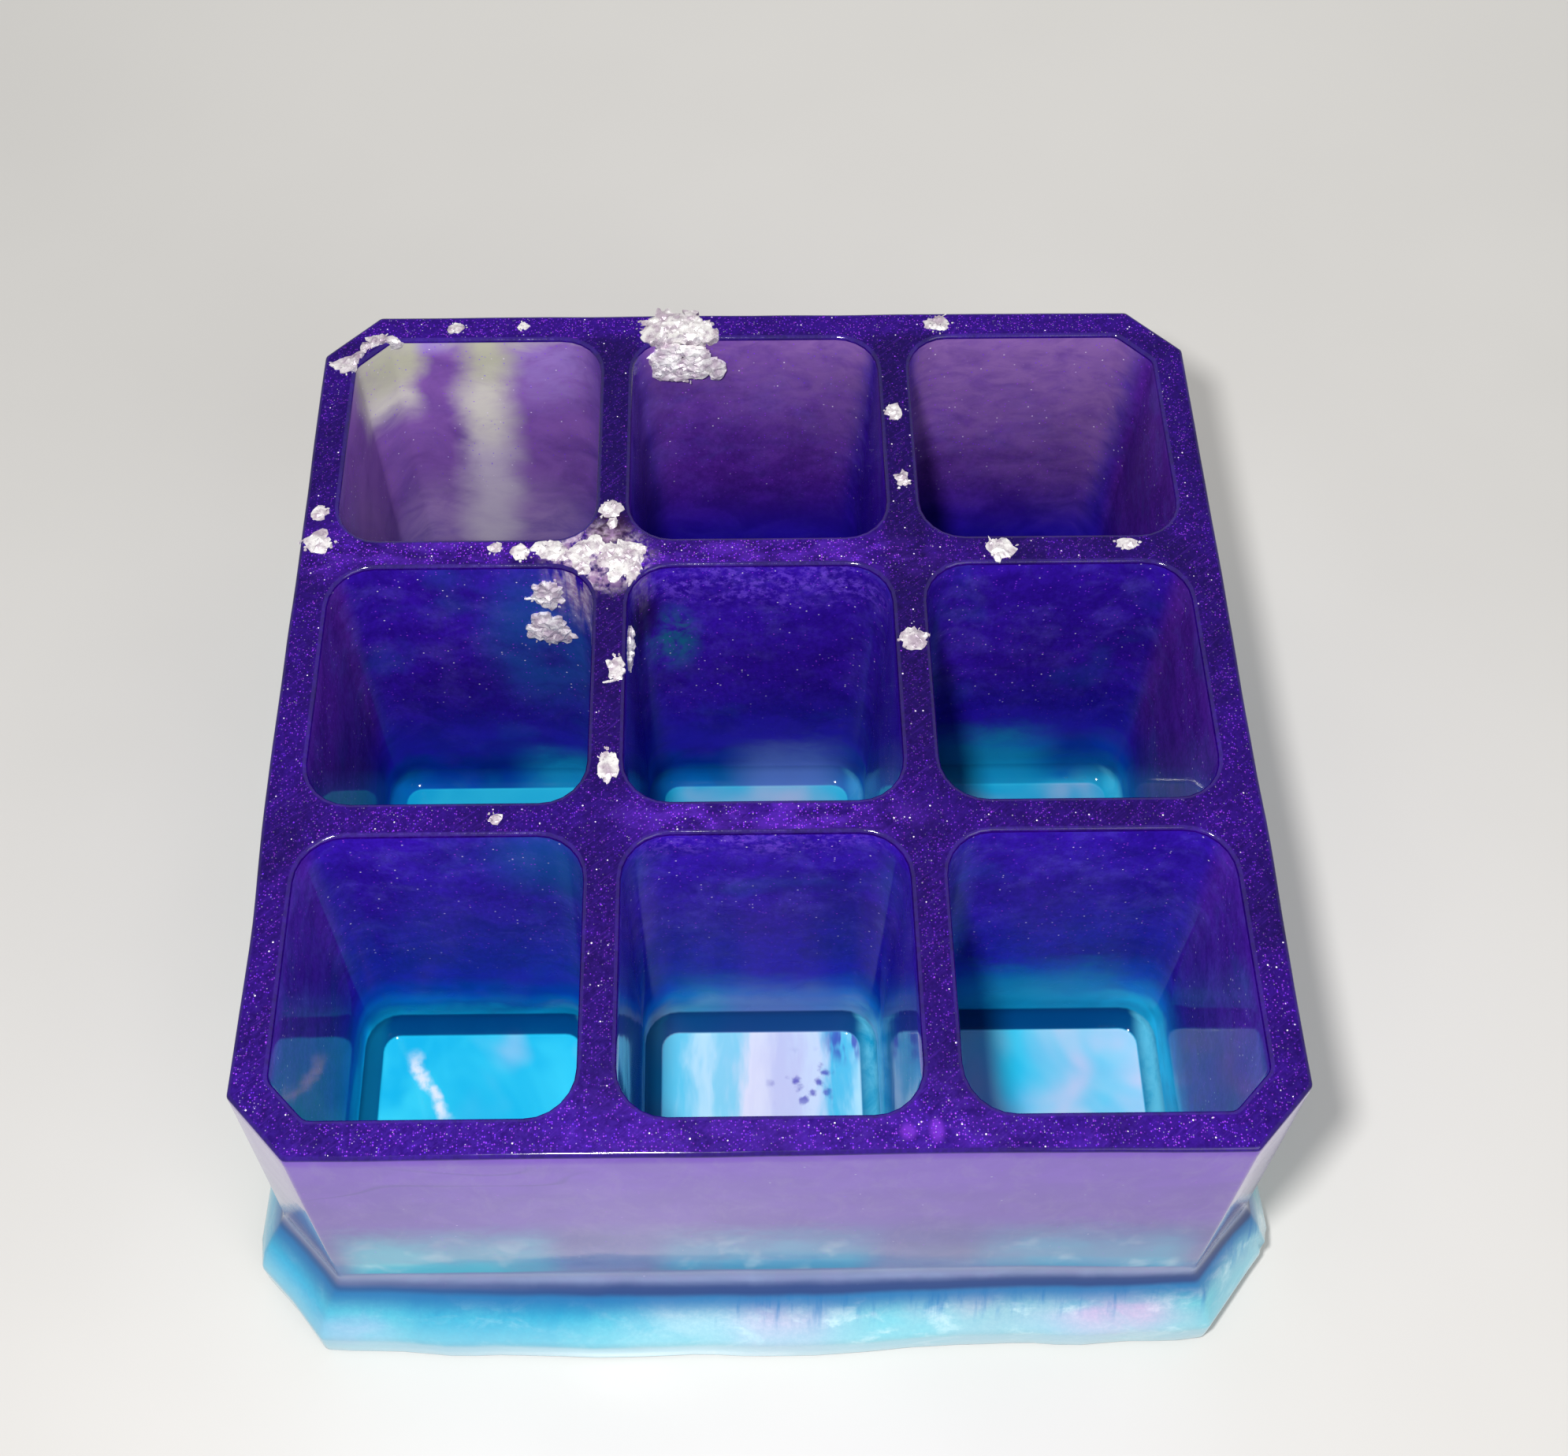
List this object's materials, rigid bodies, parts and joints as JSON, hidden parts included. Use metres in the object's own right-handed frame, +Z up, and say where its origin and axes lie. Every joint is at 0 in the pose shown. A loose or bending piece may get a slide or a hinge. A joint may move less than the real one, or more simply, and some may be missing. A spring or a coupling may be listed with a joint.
{
  "type": "resin pocket organiser",
  "caption": "Square cast-resin desk organiser with a grid of open upright pockets, cut corners, a bevelled foot and silver leaf set in the rim.",
  "frame": {"origin": "centre of the underside", "axes": "+Z up, +Y towards the back, +X to the right as seen from the front"},
  "size_m": [0.1036, 0.1036, 0.046],
  "materials": {
    "violet_mica_resin": "glossy cast epoxy, violet mica with fine glitter, a few near-clear patches at the back left",
    "indigo_blue_resin": "glossy cast epoxy, indigo turning to blue",
    "teal_pearl_resin": "glossy cast epoxy, teal and cyan with white and lilac pearl clouds",
    "silver_leaf": "crumpled silver-coloured metal leaf"
  },
  "bodies": {
    "root": {"violet_mica_grid_pour": "violet_mica_resin", "indigo_blue_band_pour": "indigo_blue_resin", "teal_pearl_base_pour": "teal_pearl_resin", "leaf_back_left_corner_outer": "silver_leaf", "leaf_back_left_corner_inner": "silver_leaf", "leaf_back_rim_speck_left": "silver_leaf", "leaf_back_rim_speck_right": "silver_leaf", "leaf_back_rim_large": "silver_leaf", "leaf_back_rim_right": "silver_leaf", "leaf_left_rim_rear": "silver_leaf", "leaf_left_rim_front": "silver_leaf", "leaf_left_divider_rear": "silver_leaf", "leaf_junction_large": "silver_leaf", "leaf_rear_cross_wall_speck": "silver_leaf", "leaf_rear_cross_wall_outer": "silver_leaf", "leaf_rear_cross_wall_middle": "silver_leaf", "leaf_rear_cross_wall_inner": "silver_leaf", "leaf_left_divider_middle": "silver_leaf", "leaf_left_divider_front": "silver_leaf", "leaf_front_cross_wall_speck": "silver_leaf", "leaf_right_divider_rear": "silver_leaf", "leaf_right_divider_middle": "silver_leaf", "leaf_rear_cross_wall_right": "silver_leaf", "leaf_rear_cross_wall_far_right": "silver_leaf", "leaf_right_divider_front": "silver_leaf", "leaf_back_middle_pocket_rear": "silver_leaf", "leaf_left_pocket_rear": "silver_leaf", "leaf_left_pocket_rear_upper": "silver_leaf", "leaf_centre_pocket_left": "silver_leaf"}
  },
  "joints": []
}
